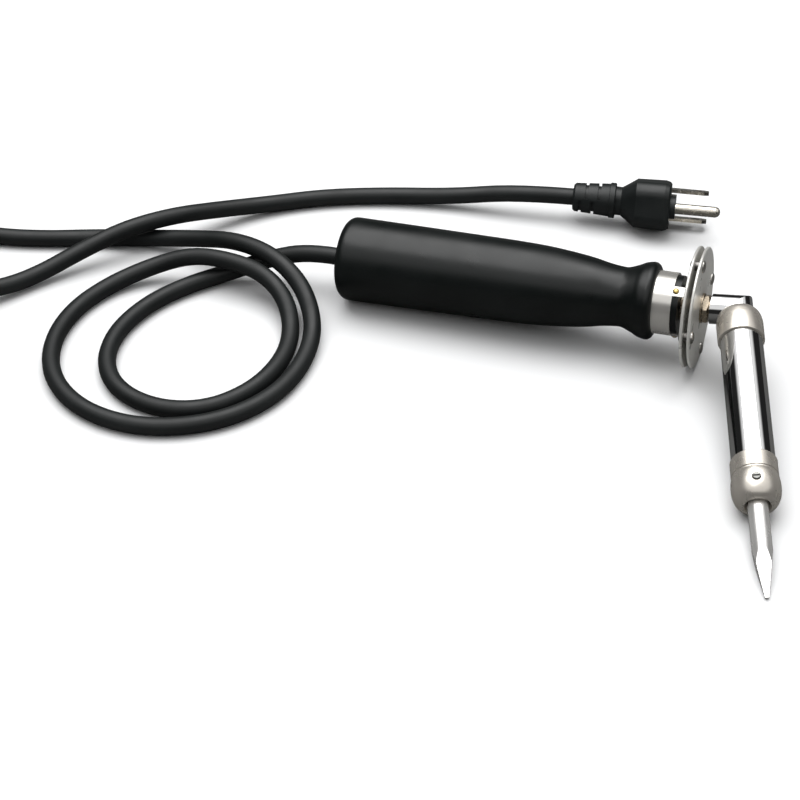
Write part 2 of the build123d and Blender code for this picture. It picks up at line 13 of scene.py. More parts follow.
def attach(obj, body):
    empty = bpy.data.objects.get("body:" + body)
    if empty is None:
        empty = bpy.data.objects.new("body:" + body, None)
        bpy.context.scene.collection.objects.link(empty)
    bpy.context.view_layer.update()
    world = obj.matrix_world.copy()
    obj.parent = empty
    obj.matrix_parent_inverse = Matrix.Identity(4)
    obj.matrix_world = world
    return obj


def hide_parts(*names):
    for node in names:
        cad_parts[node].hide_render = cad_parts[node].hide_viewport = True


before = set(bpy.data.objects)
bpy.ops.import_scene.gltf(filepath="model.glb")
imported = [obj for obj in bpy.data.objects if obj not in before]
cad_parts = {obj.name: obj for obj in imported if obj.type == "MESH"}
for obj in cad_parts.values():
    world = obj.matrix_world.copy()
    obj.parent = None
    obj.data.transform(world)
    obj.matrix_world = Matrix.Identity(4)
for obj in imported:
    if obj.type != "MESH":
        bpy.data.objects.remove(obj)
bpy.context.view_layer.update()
LOG = logging.getLogger("soldering_iron")
MM = 0.001


class Around(Enum):
    """Axis that a turned piece is made around, in its own frame."""

    HANDLE = "handle"
    BARREL = "barrel"
    PLUG = "plug"


class Tone(Enum):
    """Colours of the wires' insulation."""

    BLACK = (0.012, 0.012, 0.013)
    WHITE = (0.75, 0.74, 0.70)
    GREEN = (0.02, 0.20, 0.06)


# ---- where the assemblies lie ----
@dataclass(frozen=True)
class Resting:
    """How the iron and its plug lie on the surface."""

    rear: tuple[float, float, float] = (-0.10447, 0.05524, 0.01776)
    pitch: float = math.radians(2.91)
    roll: float = math.radians(11.45)
    lean: float = math.radians(15.4)
    barrel_station: float = 0.1718
    plug_face: tuple[float, float, float] = (0.0205, 0.14276, 0.01175)
    plug_yaw: float = math.radians(8.0)
    plug_tilt: float = math.radians(26.6)

    def handle_frame(self) -> Matrix:
        """Handle's frame: X along its axis from the middle of the rear face."""
        return Matrix.Translation(self.rear) @ Matrix.Rotation(-self.pitch, 4, "Y")

    def head_frame(self) -> Matrix:
        """Head's frame: Z down the barrel from where its axis crosses the handle's."""
        level = Vector((0.0, -math.cos(self.roll), -math.sin(self.roll)))
        down = Vector((math.sin(self.lean), 0, 0)) + level * math.cos(self.lean)
        front = Vector((math.cos(self.lean), 0, 0)) - level * math.sin(self.lean)
        side = down.cross(front)
        turn = Matrix((front, side, down)).transposed().to_4x4()
        return self.handle_frame() @ Matrix.Translation((self.barrel_station, 0, 0)) @ turn

    def plug_frame(self) -> Matrix:
        """Plug's frame: X out of its face, Z towards the ground pin."""
        out = Vector((math.cos(self.plug_yaw), math.sin(self.plug_yaw), 0))
        level = Vector((math.sin(self.plug_yaw), -math.cos(self.plug_yaw), 0))
        ground = level * math.cos(self.plug_tilt) + Vector((0, 0, math.sin(self.plug_tilt)))
        turn = Matrix((out, ground.cross(out), ground)).transposed().to_4x4()
        return Matrix.Translation(self.plug_face) @ turn

    def place(self, around: Around) -> Matrix:
        """Frame of one of the assemblies.

        Args:
            around: The assembly.

        Returns:
            Its matrix in the scene.
        """
        if around is Around.HANDLE:
            return self.handle_frame()
        if around is Around.BARREL:
            return self.head_frame()
        return self.plug_frame()


RESTING = Resting()


# ---- shader graphs ----
class Graph:
    """A material's node graph, with short ways to add what the finishes need."""

    def __init__(self, name: str, around: Around | None = None) -> None:
        """Starts a material.

        Args:
            name: The material's name.
            around: The assembly whose frame the patterns follow, or None for the scene's.
        """
        self.material = bpy.data.materials.new(name)
        self.material.use_nodes = True
        self.tree = self.material.node_tree
        self.shader = self.tree.nodes["Principled BSDF"]
        coordinates = self.tree.nodes.new("ShaderNodeTexCoord")
        self.place = coordinates.outputs["Object"]
        if around is not None:
            inverse = RESTING.place(around).inverted()
            mapping = self.tree.nodes.new("ShaderNodeMapping")
            mapping.inputs["Location"].default_value = inverse.to_translation()
            mapping.inputs["Rotation"].default_value = inverse.to_euler("XYZ")
            self.tree.links.new(self.place, mapping.inputs["Vector"])
            self.place = mapping.outputs["Vector"]

    def link(self, source: bpy.types.NodeSocket, target: bpy.types.NodeSocket) -> None:
        """Joins two sockets."""
        self.tree.links.new(source, target)

    def stretched(self, scale: tuple[float, float, float]) -> bpy.types.NodeSocket:
        """Place scaled along each axis.

        Args:
            scale: One factor for each axis.

        Returns:
            The scaled vector's socket.
        """
        node = self.tree.nodes.new("ShaderNodeVectorMath")
        node.operation = "MULTIPLY"
        self.link(self.place, node.inputs[0])
        node.inputs[1].default_value = scale
        return node.outputs[0]

    def noise(
        self, scale: float, detail: float = 3.0, vector: bpy.types.NodeSocket | None = None
    ) -> bpy.types.NodeSocket:
        """Noise from 0 to 1.

        Args:
            scale: Lumps in each metre of the vector.
            detail: Octaves of finer noise.
            vector: Where to read it, or None for the place.

        Returns:
            The noise's value socket.
        """
        node = self.tree.nodes.new("ShaderNodeTexNoise")
        node.inputs["Scale"].default_value = scale
        node.inputs["Detail"].default_value = detail
        self.link(self.place if vector is None else vector, node.inputs["Vector"])
        return node.outputs["Fac"]

    def axis(self, number: int) -> bpy.types.NodeSocket:
        """One coordinate of the place, 0 for X to 2 for Z."""
        node = self.tree.nodes.new("ShaderNodeSeparateXYZ")
        self.link(self.place, node.inputs[0])
        return node.outputs[number]

    def ranged(
        self, value: bpy.types.NodeSocket, start: float, end: float, low: float, high: float
    ) -> bpy.types.NodeSocket:
        """Value moved from one range to another.

        Args:
            value: The value's socket.
            start: Value that gives low.
            end: Value that gives high.
            low: Result at start.
            high: Result at end.

        Returns:
            The result's socket.
        """
        node = self.tree.nodes.new("ShaderNodeMapRange")
        self.link(value, node.inputs["Value"])
        node.inputs["From Min"].default_value = start
        node.inputs["From Max"].default_value = end
        node.inputs["To Min"].default_value = low
        node.inputs["To Max"].default_value = high
        return node.outputs["Result"]

    def mixed(
        self,
        amount: bpy.types.NodeSocket,
        first: tuple[float, float, float] | bpy.types.NodeSocket,
        second: tuple[float, float, float],
    ) -> bpy.types.NodeSocket:
        """Colour between two colours.

        Args:
            amount: 0 gives the first, 1 the second.
            first: A colour or a colour's socket.
            second: A colour.

        Returns:
            The colour's socket.
        """
        node = self.tree.nodes.new("ShaderNodeMix")
        node.data_type = "RGBA"
        self.link(amount, node.inputs["Factor"])
        if isinstance(first, tuple):
            node.inputs[6].default_value = (*first, 1)
        else:
            self.link(first, node.inputs[6])
        node.inputs[7].default_value = (*second, 1)
        return node.outputs[2]

    def bumped(self, height: bpy.types.NodeSocket, depth: float, strength: float) -> None:
        """Adds a bump to the shader's normal.

        Args:
            height: The height's socket, from 0 to 1.
            depth: Depth in metres that a height of 1 stands for.
            strength: How much of it shows.
        """
        node = self.tree.nodes.new("ShaderNodeBump")
        node.inputs["Strength"].default_value = strength
        node.inputs["Distance"].default_value = depth
        self.link(height, node.inputs["Height"])
        before = self.shader.inputs["Normal"].links
        if before:
            self.link(before[0].from_socket, node.inputs["Normal"])
        self.link(node.outputs["Normal"], self.shader.inputs["Normal"])

    def colour(self, socket: bpy.types.NodeSocket) -> None:
        """Links the base colour."""
        self.link(socket, self.shader.inputs["Base Color"])

    def roughness(self, socket: bpy.types.NodeSocket) -> None:
        """Links the roughness."""
        self.link(socket, self.shader.inputs["Roughness"])

    def plain(self, **values: float) -> None:
        """Sets uniform numbers on the shader, such as Metallic=1.0, with _ for a space."""
        for name, value in values.items():
            self.shader.inputs[name.replace("_", " ")].default_value = value


# ---- finishes ----
@dataclass(frozen=True)
class Moulding:
    """Moulded plastic or rubber: near-even colour, a fine grain and slightly uneven gloss."""

    name: str
    tone: tuple[float, float, float]
    gloss: tuple[float, float]
    around: Around | None = None
    grain: float = 2600.0
    grain_depth: float = 0.00003
    specular: float = 0.5

    def make(self) -> bpy.types.Material:
        """Builds the material."""
        graph = Graph(self.name, self.around)
        dusty = tuple(min(1.0, part * 1.4 + 0.001) for part in self.tone)
        patches = graph.ranged(graph.noise(38, 4), 0.35, 0.7, 0, 1)
        graph.colour(graph.mixed(patches, self.tone, dusty))
        graph.roughness(graph.ranged(graph.noise(90, 5), 0.3, 0.7, *self.gloss))
        graph.bumped(graph.noise(self.grain, 2), self.grain_depth, 0.35)
        graph.plain(Specular_IOR_Level=self.specular)
        return graph.material


@dataclass(frozen=True)
class Plated:
    """Plated metal: a mirror with faint turning marks, smudges and, if wanted, a heat tint."""

    name: str
    tone: tuple[float, float, float]
    gloss: tuple[float, float]
    around: Around
    warm: tuple[float, float, float] | None = None
    warm_from: float = 0.0
    warm_to: float = 0.1
    marks: float = 0.15
    metallic: float = 1.0

    def make(self) -> bpy.types.Material:
        """Builds the material."""
        graph = Graph(self.name, self.around)
        worn = tuple(part * 0.86 for part in self.tone)
        smudges = graph.ranged(graph.noise(55, 5), 0.4, 0.72, 0, 1)
        colour = graph.mixed(smudges, self.tone, worn)
        along = 0 if self.around is Around.HANDLE else 2
        if self.warm is not None:
            heat = graph.ranged(graph.axis(along), self.warm_from, self.warm_to, 0, 1)
            colour = graph.mixed(heat, colour, self.warm)
        graph.colour(colour)
        graph.roughness(graph.ranged(graph.noise(120, 6), 0.3, 0.75, *self.gloss))
        lines = (5200, 60, 60) if along == 0 else (60, 60, 5200)
        graph.bumped(graph.noise(1, 2, graph.stretched(lines)), 0.000004, self.marks)
        graph.plain(Metallic=self.metallic)
        return graph.material


@dataclass(frozen=True)
class SatinMetal:
    """Bare or zinc-plated metal with a fine drawn grain and stains."""

    name: str
    tone: tuple[float, float, float]
    around: Around = Around.HANDLE
    gloss: tuple[float, float] = (0.22, 0.42)

    def make(self) -> bpy.types.Material:
        """Builds the material."""
        graph = Graph(self.name, self.around)
        stained = tuple(part * 0.7 for part in self.tone)
        stains = graph.ranged(graph.noise(140, 6), 0.45, 0.75, 0, 1)
        graph.colour(graph.mixed(stains, self.tone, stained))
        graph.roughness(graph.ranged(graph.noise(400, 4), 0.3, 0.7, *self.gloss))
        graph.bumped(graph.noise(1, 3, graph.stretched((300, 2600, 2600))), 0.00001, 0.3)
        graph.plain(Metallic=1.0)
        return graph.material


@dataclass(frozen=True)
class Mineral:
    """Unglazed ceramic, mica or glass braid: pale, rough and speckled."""

    name: str
    tone: tuple[float, float, float]
    speckle: tuple[float, float, float]
    scale: float = 900.0

    def make(self) -> bpy.types.Material:
        """Builds the material."""
        graph = Graph(self.name)
        spots = graph.ranged(graph.noise(self.scale, 5), 0.5, 0.68, 0, 1)
        graph.colour(graph.mixed(spots, self.tone, self.speckle))
        graph.roughness(graph.ranged(graph.noise(200, 3), 0.3, 0.7, 0.55, 0.8))
        graph.bumped(graph.noise(self.scale * 2, 4), 0.00004, 0.5)
        return graph.material


@dataclass(frozen=True)
class Tabletop:
    """Pale matte board that the iron lies on. Glossy rays see it near black, which paints dark
    reflections on the metal.
    """

    name: str = "pale_board"
    tone: tuple[float, float, float] = (0.86, 0.865, 0.87)
    # Painted dark reflection: the board's colour as seen only by glossy rays.
    painted_dark_reflection: tuple[float, float, float] = (0.07, 0.07, 0.068)

    def make(self) -> bpy.types.Material:
        """Builds the material."""
        graph = Graph(self.name)
        shade = tuple(part * 0.985 for part in self.tone)
        clouds = graph.ranged(graph.noise(6, 4), 0.35, 0.65, 0, 1)
        cloudy = graph.mixed(clouds, self.tone, shade)
        # Painted reflection: glossy rays see the board near black, so the chrome and the other
        # metals show dark strips where they would reflect the pale board.
        path = graph.tree.nodes.new("ShaderNodeLightPath")
        graph.colour(graph.mixed(path.outputs["Is Glossy Ray"], cloudy, self.painted_dark_reflection))
        graph.roughness(graph.ranged(graph.noise(60, 3), 0.3, 0.7, 0.6, 0.7))
        graph.bumped(graph.noise(1400, 3), 0.00002, 0.1)
        graph.plain(Specular_IOR_Level=0.25)
        return graph.material


# ---- meshes ----
def sharpened(mesh: bpy.types.Mesh, angle: float = 32.0) -> None:
    """Shades a mesh smooth, except across edges sharper than an angle in degrees."""
    work = bmesh.new()
    work.from_mesh(mesh)
    bmesh.ops.recalc_face_normals(work, faces=work.faces)
    limit = math.radians(angle)
    for face in work.faces:
        face.smooth = True
    for edge in work.edges:
        edge.smooth = len(edge.link_faces) == 2 and edge.calc_face_angle(0) < limit
    work.to_mesh(mesh)
    work.free()


def as_piece(
    name: str, mesh: bpy.types.Mesh, material: bpy.types.Material, around: Around | None = None
) -> bpy.types.Object:
    """Object at the origin that shows a mesh in one material.

    Args:
        name: The piece's name.
        mesh: Its mesh.
        material: Its finish.
        around: The assembly whose frame the mesh is in, or None if it is already in place.

    Returns:
        The object, linked to the scene.
    """
    if around is not None:
        mesh.transform(RESTING.place(around))
    mesh.materials.clear()
    mesh.materials.append(material)
    piece = bpy.data.objects.new(name, mesh)
    bpy.context.collection.objects.link(piece)
    return piece


def stand_in(piece: bpy.types.Object, node: str, body: str) -> None:
    """Sets which node a built piece replaces.

    Args:
        piece: The built piece.
        node: The frame's node.
        body: The body it moves with.
    """
    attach(piece, body)
    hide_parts(node)
    LOG.info("%s built for %s", piece.name, node)


def cut_away(mesh: bpy.types.Mesh, cutter: bpy.types.Mesh) -> bpy.types.Mesh:
    """Takes one closed mesh out of another.

    Args:
        mesh: What is cut.
        cutter: What is taken out, in the same frame.

    Returns:
        The cut mesh.
    """
    body = bpy.data.objects.new("uncut", mesh)
    tool = bpy.data.objects.new("cutter", cutter)
    for thing in (body, tool):
        bpy.context.collection.objects.link(thing)
    modifier = body.modifiers.new("Cut", "BOOLEAN")
    modifier.operation = "DIFFERENCE"
    modifier.solver = "EXACT"
    modifier.object = tool
    graph = bpy.context.evaluated_depsgraph_get()
    result = bpy.data.meshes.new_from_object(body.evaluated_get(graph))
    for thing in (body, tool):
        bpy.data.objects.remove(thing)
    sharpened(result)
    return result


def rod(start: Vector, end: Vector, radius: float) -> bpy.types.Mesh:
    """Round bar between two points.

    Args:
        start: Middle of one end, in metres.
        end: Middle of the other end.
        radius: In metres.

    Returns:
        The closed mesh.
    """
    along = end - start
    work = bmesh.new()
    turn = Vector((0, 0, 1)).rotation_difference(along).to_matrix().to_4x4()
    bmesh.ops.create_cone(
        work, cap_ends=True, segments=96, radius1=radius, radius2=radius, depth=along.length,
        matrix=Matrix.Translation((start + end) / 2) @ turn)
    mesh = bpy.data.meshes.new("rod")
    work.to_mesh(mesh)
    work.free()
    return mesh


def turned(
    name: str, outline: list[tuple[float, float]], around: Around, steps: int = 128
) -> bpy.types.Mesh:
    """Mesh turned around an assembly's axis, in the assembly's own frame.

    Args:
        name: The mesh's name.
        outline: (along, radius) points in millimetres. A closed ring repeats its first point.
        around: The axis: X of the handle or the plug, Z of the barrel.
        steps: Faces around.

    Returns:
        The closed mesh.
    """
    work = bmesh.new()
    rings = []
    for along, radius in outline:
        ring = []
        for step in range(steps if radius > 0 else 1):
            turn = math.tau * step / steps
            across = (radius * math.cos(turn), radius * math.sin(turn))
            point = (along, *across) if around is not Around.BARREL else (*across, along)
            ring.append(work.verts.new(Vector(point) * MM))
        rings.append(ring)
    for ring, following in zip(rings, rings[1:]):
        for step in range(steps):
            corners = [ring[step % len(ring)], ring[(step + 1) % len(ring)]]
            corners += [
                following[(step + 1) % len(following)], following[step % len(following)]]
            corners = list(dict.fromkeys(corners))
            if len(corners) > 2:
                work.faces.new(corners)
    bmesh.ops.remove_doubles(work, verts=work.verts, dist=1e-7)
    mesh = bpy.data.meshes.new(name)
    work.to_mesh(mesh)
    work.free()
    sharpened(mesh)
    return mesh


def smooth_line(
    points: list[tuple[float, float]], pieces: int = 8
) -> list[tuple[float, float]]:
    """Points of a Catmull-Rom curve through the given ones.

    Args:
        points: (along, radius) points.
        pieces: Steps between neighbours.

    Returns:
        The denser list.
    """
    padded = [points[0], *points, points[-1]]
    result = []
    for a, b, c, d in zip(padded, padded[1:], padded[2:], padded[3:]):
        for step in range(pieces):
            t = step / pieces
            spot = []
            for p, q, r, s in zip(a, b, c, d):
                bend = 2 * p - 5 * q + 4 * r - s
                skew = 3 * q - p - 3 * r + s
                spot.append(0.5 * (2 * q + (r - p) * t + bend * t * t + skew * t ** 3))
            result.append(tuple(spot))
    return result + [points[-1]]


class GeometryTree:
    """A geometry node tree with named inputs, turned into a plain mesh."""

    def __init__(self, name: str) -> None:
        """Starts an empty tree.

        Args:
            name: The tree's name.
        """
        self.tree = bpy.data.node_groups.new(name, "GeometryNodeTree")
        self.tree.interface.new_socket(
            "Geometry", in_out="OUTPUT", socket_type="NodeSocketGeometry")
        self.values = {}
        self.source = self.tree.nodes.new("NodeGroupInput")

    def asked(self, name: str, kind: str, value: object) -> bpy.types.NodeSocket:
        """Adds a named input.

        Args:
            name: The input's name.
            kind: Its socket type, such as NodeSocketFloat.
            value: What this piece gives it.

        Returns:
            The socket to link from.
        """
        item = self.tree.interface.new_socket(name, in_out="INPUT", socket_type=kind)
        self.values[item.identifier] = value
        return self.source.outputs[name]

    def node(self, kind: str) -> bpy.types.Node:
        """Adds a node of a kind."""
        return self.tree.nodes.new(kind)

    def link(self, source: bpy.types.NodeSocket, target: bpy.types.NodeSocket) -> None:
        """Joins two sockets."""
        self.tree.links.new(source, target)

    def finished(
        self, geometry: bpy.types.NodeSocket, name: str, material: bpy.types.Material
    ) -> bpy.types.Mesh:
        """Ends the tree and evaluates it once.

        Args:
            geometry: The last geometry's socket.
            name: The mesh's name.
            material: Its finish.

        Returns:
            The plain mesh.
        """
        realize = self.node("GeometryNodeRealizeInstances")
        dress = self.node("GeometryNodeSetMaterial")
        out = self.node("NodeGroupOutput")
        self.link(geometry, realize.inputs[0])
        self.link(realize.outputs[0], dress.inputs["Geometry"])
        self.link(dress.outputs[0], out.inputs[0])
        dress.inputs["Material"].default_value = material
        holder = bpy.data.objects.new(name + "_holder", bpy.data.meshes.new(name))
        bpy.context.collection.objects.link(holder)
        modifier = holder.modifiers.new("Build", "NODES")
        modifier.node_group = self.tree
        for identifier, value in self.values.items():
            modifier[identifier] = value
        graph = bpy.context.evaluated_depsgraph_get()
        mesh = bpy.data.meshes.new_from_object(holder.evaluated_get(graph))
        mesh.name = name
        holder.modifiers.remove(modifier)
        bpy.data.objects.remove(holder)
        return mesh


def ring_of(
    name: str, sample: bpy.types.Mesh, count: int, start: float, material: bpy.types.Material
) -> bpy.types.Mesh:
    """Copies of a small part set evenly around X by geometry nodes.

    Args:
        name: The mesh's name.
        sample: One copy, standing where angle 0 puts it.
        count: How many there are.
        start: Angle of the first, in radians.
        material: Their finish.

    Returns:
        One plain mesh in the assembly's own frame.
    """
    holder = bpy.data.objects.new(name + "_sample", sample)
    bpy.context.collection.objects.link(holder)
    tree = GeometryTree(name + "_ring")
    part = tree.node("GeometryNodeObjectInfo")
    tree.link(tree.asked("Part", "NodeSocketObject", holder), part.inputs["Object"])
    points = tree.node("GeometryNodePoints")
    tree.link(tree.asked("Count", "NodeSocketInt", count), points.inputs["Count"])
    step = tree.node("ShaderNodeMath")
    step.operation = "MULTIPLY_ADD"
    tree.link(tree.node("GeometryNodeInputIndex").outputs[0], step.inputs[0])
    tree.link(tree.asked("Step", "NodeSocketFloat", math.tau / count), step.inputs[1])
    tree.link(tree.asked("Start", "NodeSocketFloat", start), step.inputs[2])
    turn = tree.node("ShaderNodeCombineXYZ")
    tree.link(step.outputs[0], turn.inputs["X"])
    copies = tree.node("GeometryNodeInstanceOnPoints")
    tree.link(points.outputs[0], copies.inputs["Points"])
    tree.link(part.outputs["Geometry"], copies.inputs["Instance"])
    tree.link(turn.outputs[0], copies.inputs["Rotation"])
    mesh = tree.finished(copies.outputs[0], name, material)
    bpy.data.objects.remove(holder)
    return mesh


def dress(names: list[str], material: bpy.types.Material) -> None:
    """Gives carried-over nodes a finish.

    Args:
        names: The nodes.
        material: Their finish.
    """
    for name in names:
        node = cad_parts[name]
        for slot in node.material_slots:
            slot.material = material
        LOG.info("%s dressed in %s", name, material.name)


# ---- floor, lights and camera ----
@dataclass
class Studio:
    """Pale board, soft lights and the camera."""

    camera_at: tuple[float, float, float] = (0.1651, -0.7396, 0.6410)
    aim: tuple[float, float, float] = (-0.0596, -0.0092, 0.0)
    lens: float = 108.66
    board_size: float = 6.0
    sky: float = 0.92
    lights: list[tuple[str, tuple, tuple, float, float]] = field(default_factory=lambda: [
        ("overhead", (-0.35, 0.35, 1.5), (0.0, 0.05, 0.0), 1.5, 21.0),
        ("back", (0.3, 0.9, 1.6), (0.05, 0.0, 0.0), 0.8, 4.0),
    ])

    def aimed(self, thing: bpy.types.Object, at: tuple, target: tuple) -> None:
        """Puts a light or the camera at a point and turns it towards another.

        Args:
            thing: The light's or the camera's object.
            at: Where it stands.
            target: What it looks at.
        """
        thing.location = at
        thing.rotation_euler = (Vector(target) - Vector(at)).to_track_quat("-Z", "Y").to_euler()
        bpy.context.collection.objects.link(thing)

    def build_camera(self) -> None:
        """Makes the camera."""
        data = bpy.data.cameras.new("camera")
        data.lens = self.lens
        data.sensor_width = 36.0
        data.clip_start = 0.01
        camera = bpy.data.objects.new("camera", data)
        self.aimed(camera, self.camera_at, self.aim)
        bpy.context.scene.camera = camera

    def build_board(self) -> None:
        """Makes the board under the iron."""
        half = self.board_size / 2
        mesh = bpy.data.meshes.new("board")
        corners = [(-half, -half, 0), (half, -half, 0), (half, half, 0), (-half, half, 0)]
        mesh.from_pydata(corners, [], [(0, 1, 2, 3)])
        as_piece("board", mesh, Tabletop().make())

    def build_lights(self) -> None:
        """Makes the soft lights and a sky that is bright above and dim low down."""
        for name, at, target, size, power in self.lights:
            data = bpy.data.lights.new(name, "AREA")
            data.size = size
            data.energy = power
            self.aimed(bpy.data.objects.new(name, data), at, target)
        world = bpy.data.worlds.new("sky")
        bpy.context.scene.world = world
        world.use_nodes = True
        nodes = world.node_tree.nodes
        links = world.node_tree.links
        place = nodes.new("ShaderNodeTexCoord")
        split = nodes.new("ShaderNodeSeparateXYZ")
        links.new(place.outputs["Generated"], split.inputs[0])
        height = nodes.new("ShaderNodeMapRange")
        height.interpolation_type = "SMOOTHSTEP"
        links.new(split.outputs["Z"], height.inputs["Value"])
        height.inputs["From Min"].default_value = 0.46
        height.inputs["From Max"].default_value = 0.64
        height.inputs["To Min"].default_value = 0.02
        height.inputs["To Max"].default_value = 1.0
        seen = nodes.new("ShaderNodeLightPath")
        pale = nodes.new("ShaderNodeMix")
        links.new(seen.outputs["Is Camera Ray"], pale.inputs["Factor"])
        links.new(height.outputs["Result"], pale.inputs["A"])
        pale.inputs["B"].default_value = 1.4
        background = nodes["Background"]
        background.inputs["Color"].default_value = (1, 1, 1, 1)
        strength = nodes.new("ShaderNodeMath")
        strength.operation = "MULTIPLY"
        strength.inputs[1].default_value = self.sky
        links.new(pale.outputs["Result"], strength.inputs[0])
        links.new(strength.outputs[0], background.inputs["Strength"])
        bpy.context.scene.view_settings.view_transform = "Standard"

    def build(self) -> None:
        """Builds the stage."""
        self.build_camera()
        self.build_board()
        self.build_lights()
        LOG.info("stage ready")


# ---- cord ----
@dataclass
class MainsLead:
    """Mains cord from the handle through two loops and a put-away coil to its plug."""

    radius: float = 0.0038
    free_length: float = 1.83
    coil_middle: tuple[float, float] = (-0.3025, -0.0008)
    coil_radius: float = 0.0462
    coil_lane: float = 0.0078
    coil_low: float = 0.0039
    coil_high: float = 0.0115
    coil_points_laid: int = 33
    coil_step: float = 30.0
    coil_start: float = 90.0
    lead_out: list[tuple[float, float, float]] = field(default_factory=lambda: [
        (-0.1073, 0.0552, 0.0176), (-0.1210, 0.0555, 0.0170), (-0.1375, 0.0543, 0.0110),
        (-0.1540, 0.0472, 0.0050), (-0.1690, 0.0345, 0.0039), (-0.1810, 0.0165, 0.0039),
        (-0.1870, -0.0050, 0.0039), (-0.1840, -0.0265, 0.0039), (-0.1715, -0.0422, 0.0039),
        (-0.1515, -0.0484, 0.0039), (-0.1320, -0.0428, 0.0039), (-0.1186, -0.0265, 0.0039),
        (-0.1128, -0.0060, 0.0039), (-0.1145, 0.0140, 0.0042), (-0.1225, 0.0305, 0.0086),
        (-0.1360, 0.0400, 0.0132), (-0.1530, 0.0425, 0.0148), (-0.1710, 0.0435, 0.0130),
        (-0.1885, 0.0375, 0.0068), (-0.2025, 0.0230, 0.0039), (-0.2103, 0.0030, 0.0039),
        (-0.2105, -0.0195, 0.0039), (-0.2025, -0.0400, 0.0039), (-0.1865, -0.0550, 0.0039),
        (-0.1650, -0.0615, 0.0039), (-0.1425, -0.0583, 0.0039), (-0.1215, -0.0456, 0.0039),
        (-0.1078, -0.0255, 0.0039), (-0.1036, -0.0015, 0.0039), (-0.1065, 0.0205, 0.0062),
        (-0.1175, 0.0370, 0.0132), (-0.1340, 0.0475, 0.0178), (-0.1535, 0.0540, 0.0172),
        (-0.1745, 0.0598, 0.0096), (-0.1970, 0.0606, 0.0044), (-0.2195, 0.0550, 0.0039),
        (-0.2410, 0.0472, 0.0039), (-0.2625, 0.0422, 0.0039), (-0.2830, 0.0420, 0.0039),
    ])
    lead_back: list[tuple[float, float, float]] = field(default_factory=lambda: [
        (-0.2560, -0.0055, 0.0090), (-0.2440, 0.0070, 0.0054), (-0.2335, 0.0210, 0.0050),
        (-0.2210, 0.0365, 0.0088), (-0.2057, 0.0518, 0.0136), (-0.1887, 0.0668, 0.0142),
        (-0.1737, 0.0845, 0.0086), (-0.1560, 0.1005, 0.0044), (-0.1340, 0.1138, 0.0039),
        (-0.1070, 0.1236, 0.0039), (-0.0770, 0.1294, 0.0056), (-0.0486, 0.1331, 0.0114),
        (-0.02266, 0.1367, 0.01175),
    ])

    def coil_points(self) -> list[tuple[float, float, float]]:
        """Points of the put-away coil: in along the low layer, then out along the high one."""
        full_turn, out_from = 360.0, 450.0
        climb_from, climb_over = 345.0, 90.0
        outside_arc = math.cos(math.radians(self.coil_step / 2))
        points = []
        for step in range(self.coil_points_laid):
            turned_by = step * self.coil_step
            angle = math.radians(self.coil_start + turned_by)
            if turned_by <= full_turn:
                lane = turned_by / full_turn
            elif turned_by <= out_from:
                lane = 1.0
            else:
                lane = max(0.0, 1 - (turned_by - out_from) / full_turn)
            climb = min(1.0, max(0.0, (turned_by - climb_from) / climb_over))
            reach = (self.coil_radius - lane * self.coil_lane) / outside_arc
            points.append((
                self.coil_middle[0] + reach * math.cos(angle),
                self.coil_middle[1] + reach * math.sin(angle),
                self.coil_low + climb * (self.coil_high - self.coil_low),
            ))
        return points

    def build(self) -> bpy.types.Object:
        """Builds the cord as one smooth spline.

        Returns:
            The cord's curve.
        """
        route = self.lead_out + self.coil_points() + self.lead_back
        curve = bpy.data.curves.new("mains_cord", "CURVE")
        curve.dimensions = "3D"
        curve.resolution_u = 6
        curve.bevel_depth = self.radius
        curve.bevel_resolution = 7
        curve.use_fill_caps = True
        spline = curve.splines.new("NURBS")
        spline.points.add(len(route) - 1)
        for point, place in zip(spline.points, route):
            point.co = (*place, 1)
        spline.order_u = 3
        spline.use_endpoint_u = True
        spline.use_smooth = True
        jacket = Moulding(
            "cord_jacket", (0.009, 0.0105, 0.0105), (0.38, 0.52), grain=1800.0, specular=0.36)
        curve.materials.append(jacket.make())
        cord = bpy.data.objects.new("mains_cord", curve)
        bpy.context.collection.objects.link(cord)
        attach(cord, "handle_body")
        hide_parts("cord_lead_out", "cord_coil", "cord_lead_back")
        LOG.info("cord laid through %d points", len(route))
        return cord


@dataclass
class Plug:
    """Three-pin plug with its slotted relief."""

    def build(self) -> None:
        """Dresses the plug's nodes."""
        black = Moulding(
            "plug_black", (0.007, 0.009, 0.009), (0.34, 0.48), Around.PLUG, grain=3200.0,
            specular=0.4).make()
        dress(["plug_body", "plug_relief", "cord_plug_end"], black)
        pins = SatinMetal("plug_pins", (0.72, 0.68, 0.60), Around.PLUG, (0.16, 0.3)).make()
        dress(["plug_blades", "ground_pin"], pins)


